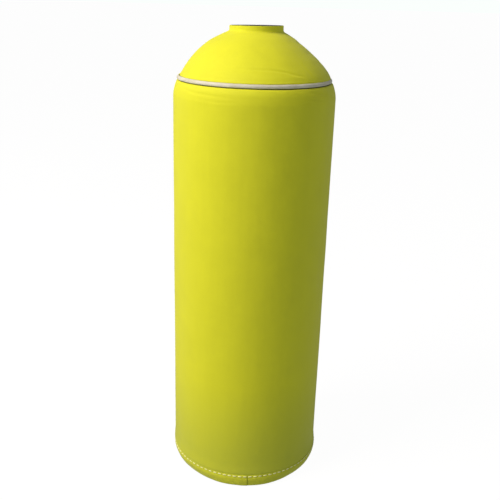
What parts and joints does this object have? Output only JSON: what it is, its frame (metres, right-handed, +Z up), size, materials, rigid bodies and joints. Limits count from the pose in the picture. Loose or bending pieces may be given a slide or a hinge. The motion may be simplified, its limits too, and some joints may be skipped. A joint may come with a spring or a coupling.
{
  "type": "scuba tank",
  "caption": "Upright aluminium scuba tank in a fitted yellow neoprene cover with a white piped shoulder seam, its threaded neck closed by a screw plug.",
  "frame": {"origin": "centre of the cylinder's flat base, on the floor it stands on", "axes": "+Z up along the cylinder's axis to the neck, -Y to the front of the cover where the hem tape's ends meet"},
  "size_m": [0.1948, 0.1948, 0.5606],
  "materials": {
    "yellow_neoprene": "nylon-faced neoprene, satin",
    "black_lining": "glued nylon seam tape",
    "white_piping": "smooth woven tape",
    "cotton_cord": "braided cord",
    "yellow_thread": "bonded polyester thread",
    "brushed_aluminium": "brushed, satin",
    "black_nylon": "machined",
    "black_rubber": "smooth"
  },
  "bodies": {
    "cylinder": {"cylinder_shell": "brushed_aluminium"},
    "plug_seal": {"plug_o_ring": "black_rubber"},
    "plug": {"neck_plug": "black_nylon"},
    "cover": {"cover_body_panel": "yellow_neoprene", "cover_shoulder_panel": "yellow_neoprene", "cover_collar": "yellow_neoprene", "hem_binding": "yellow_neoprene", "piping_tape": "white_piping", "piping_cord": "cotton_cord", "hem_thread": "yellow_thread", "shoulder_seam_thread": "yellow_thread", "collar_seam_thread": "yellow_thread", "body_closing_thread": "yellow_thread", "shoulder_closing_thread": "yellow_thread", "body_seam_tape": "black_lining", "shoulder_seam_tape": "black_lining"}
  },
  "joints": [
    {"name": "cover_lift", "type": "slide", "parent": "cylinder", "child": "cover", "axis": [0, 0, 1], "range_m": [0, 0.57]},
    {"name": "plug_rise", "type": "slide", "parent": "cylinder", "child": "plug_seal", "axis": [0, 0, 1], "range_m": [0, 0.0218]},
    {"name": "plug_turn", "type": "hinge", "parent": "plug_seal", "child": "plug", "pos_m": [0, 0, 0.556], "axis": [0, 0, 1], "range_deg": [0, 4320]}
  ],
  "couplings": [
    {"joint": "plug_rise", "follows": "plug_turn", "m_per_rad": 0.00028875}
  ]
}
